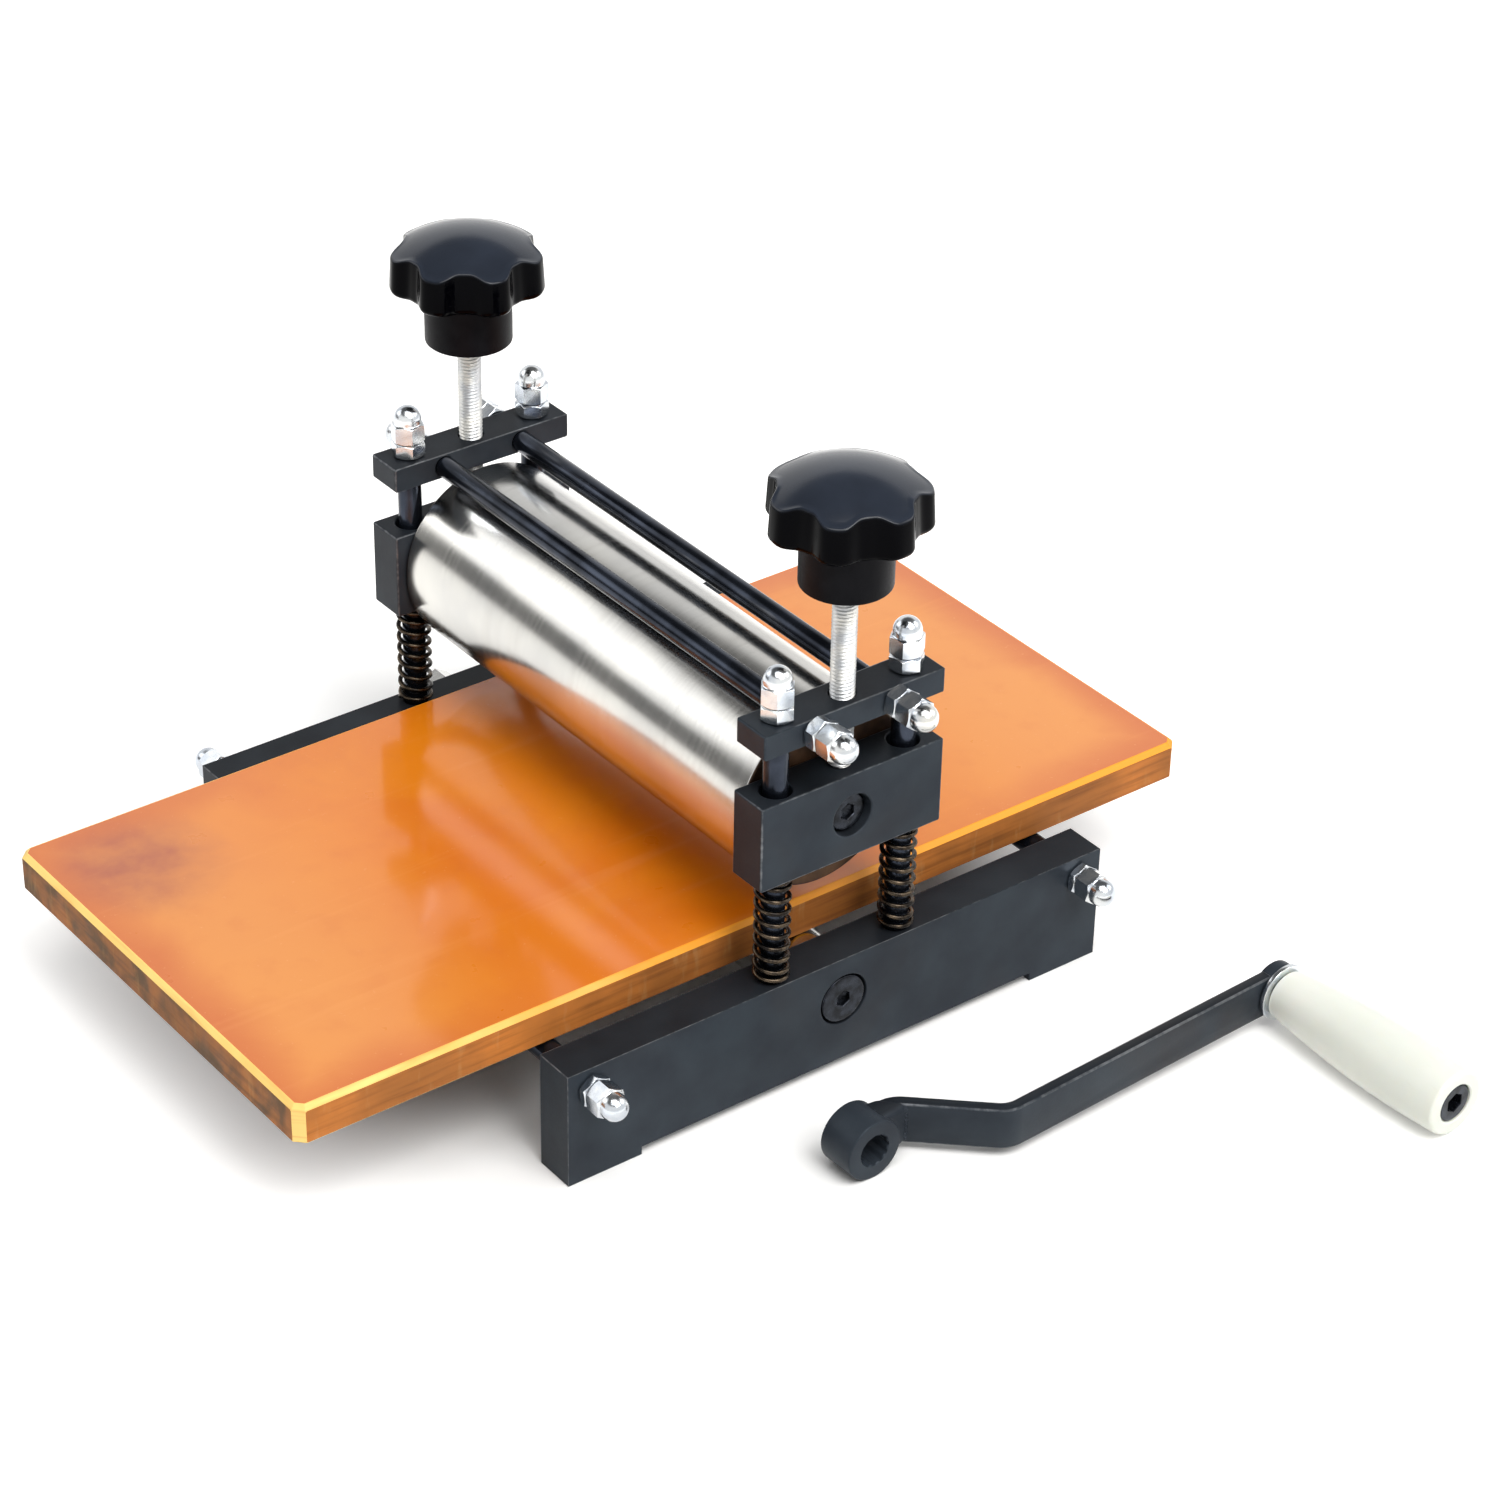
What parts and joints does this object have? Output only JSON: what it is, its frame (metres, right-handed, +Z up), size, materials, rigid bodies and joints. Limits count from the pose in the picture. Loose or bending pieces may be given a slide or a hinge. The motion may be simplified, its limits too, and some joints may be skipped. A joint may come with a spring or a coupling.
{
  "type": "etching press",
  "caption": "Small hand-cranked etching press: a sliding bed board between a driven lower roller and a sprung upper roller set by screws with lobed knobs, with its loose crank handle.",
  "frame": {"origin": "middle of the whole object's box at floor level, with the crank lying beside the press", "axes": "+X is the way the bed travels, to the right seen from the crank's side; +Y runs along the rollers, away from the crank; +Z is up"},
  "size_m": [0.35, 0.3778, 0.2168],
  "materials": {
    "black_steel": "satin blue-black oxide",
    "roller_steel": "ground, satin",
    "zinc": "bright zinc plate",
    "spring_steel": "dark oiled spring steel",
    "bush_steel": "dark oiled",
    "board": "glossy orange-brown phenolic board",
    "black_plastic": "glossy black moulding",
    "ivory_plastic": "satin, slightly translucent"
  },
  "bodies": {
    "frame": {"near_side_plate": "black_steel", "far_side_plate": "black_steel", "left_base_tie_rod": "black_steel", "right_base_tie_rod": "black_steel", "near_left_base_nut": "zinc", "near_right_base_nut": "zinc", "far_left_base_nut": "zinc", "far_right_base_nut": "zinc", "near_left_base_cap_nut": "zinc", "near_right_base_cap_nut": "zinc", "far_left_base_cap_nut": "zinc", "far_right_base_cap_nut": "zinc", "near_left_post": "black_steel", "near_right_post": "black_steel", "far_left_post": "black_steel", "far_right_post": "black_steel", "near_left_spring": "spring_steel", "near_right_spring": "spring_steel", "far_left_spring": "spring_steel", "far_right_spring": "spring_steel", "near_left_post_nut": "zinc", "near_right_post_nut": "zinc", "far_left_post_nut": "zinc", "far_right_post_nut": "zinc", "near_left_post_cap_nut": "zinc", "near_right_post_cap_nut": "zinc", "far_left_post_cap_nut": "zinc", "far_right_post_cap_nut": "zinc", "near_top_bar": "black_steel", "far_top_bar": "black_steel", "left_top_tie_rod": "black_steel", "right_top_tie_rod": "black_steel", "near_left_tie_nut": "zinc", "near_right_tie_nut": "zinc", "far_left_tie_nut": "zinc", "far_right_tie_nut": "zinc", "near_left_tie_cap_nut": "zinc", "near_right_tie_cap_nut": "zinc", "far_left_tie_cap_nut": "zinc", "far_right_tie_cap_nut": "zinc", "near_lower_bush": "bush_steel", "far_lower_bush": "bush_steel", "crank_arm": "black_steel", "grip_washer": "zinc", "grip_bolt": "black_steel"},
    "bed": {"bed_board": "board"},
    "drive": {"lower_roller": "roller_steel", "near_lower_end_screw": "black_steel"},
    "head": {"near_upper_block": "black_steel", "far_upper_block": "black_steel", "near_upper_bush": "bush_steel", "far_upper_bush": "bush_steel"},
    "press_roller": {"upper_roller": "roller_steel", "near_upper_end_screw": "black_steel", "far_upper_end_screw": "black_steel"},
    "near_screw": {"near_pressure_screw": "zinc", "near_knob": "black_plastic"},
    "far_screw": {"far_pressure_screw": "zinc", "far_knob": "black_plastic"},
    "grip": {"crank_grip": "ivory_plastic"}
  },
  "joints": [
    {"name": "bed_slide", "type": "slide", "parent": "frame", "child": "bed", "axis": [1, 0, 0], "range_m": [-0.1361, 0.1639]},
    {"name": "lower_roller_turn", "type": "hinge", "parent": "frame", "child": "drive", "pos_m": [0.0139, 0.0604, 0.0262], "axis": [0, 1, 0], "range_deg": [-641, 771]},
    {"name": "head_lift", "type": "slide", "parent": "frame", "child": "head", "axis": [0, 0, 1], "range_m": [-0.0119, 0.003], "deforming": ["near_left_spring", "near_right_spring", "far_left_spring", "far_right_spring"]},
    {"name": "upper_roller_turn", "type": "hinge", "parent": "head", "child": "press_roller", "pos_m": [0.0139, 0.0604, 0.097], "axis": [0, 1, 0], "continuous": true},
    {"name": "near_screw_turn", "type": "hinge", "parent": "head", "child": "near_screw", "pos_m": [0.0139, -0.041, 0.15], "axis": [0, 0, 1], "range_deg": [-3428, 865]},
    {"name": "far_screw_turn", "type": "hinge", "parent": "head", "child": "far_screw", "pos_m": [0.0139, 0.1618, 0.15], "axis": [0, 0, 1], "range_deg": [-3428, 865]},
    {"name": "grip_turn", "type": "hinge", "parent": "frame", "child": "grip", "pos_m": [0.145, -0.11387, 0.0122], "axis": [0.0384, -0.9993, 0], "continuous": true}
  ],
  "couplings": [
    {"joint": "lower_roller_turn", "follows": "bed_slide", "rad_per_m": 81.967},
    {"joint": "near_screw_turn", "follows": "head_lift", "rad_per_m": 5026.5},
    {"joint": "far_screw_turn", "follows": "head_lift", "rad_per_m": 5026.5}
  ]
}
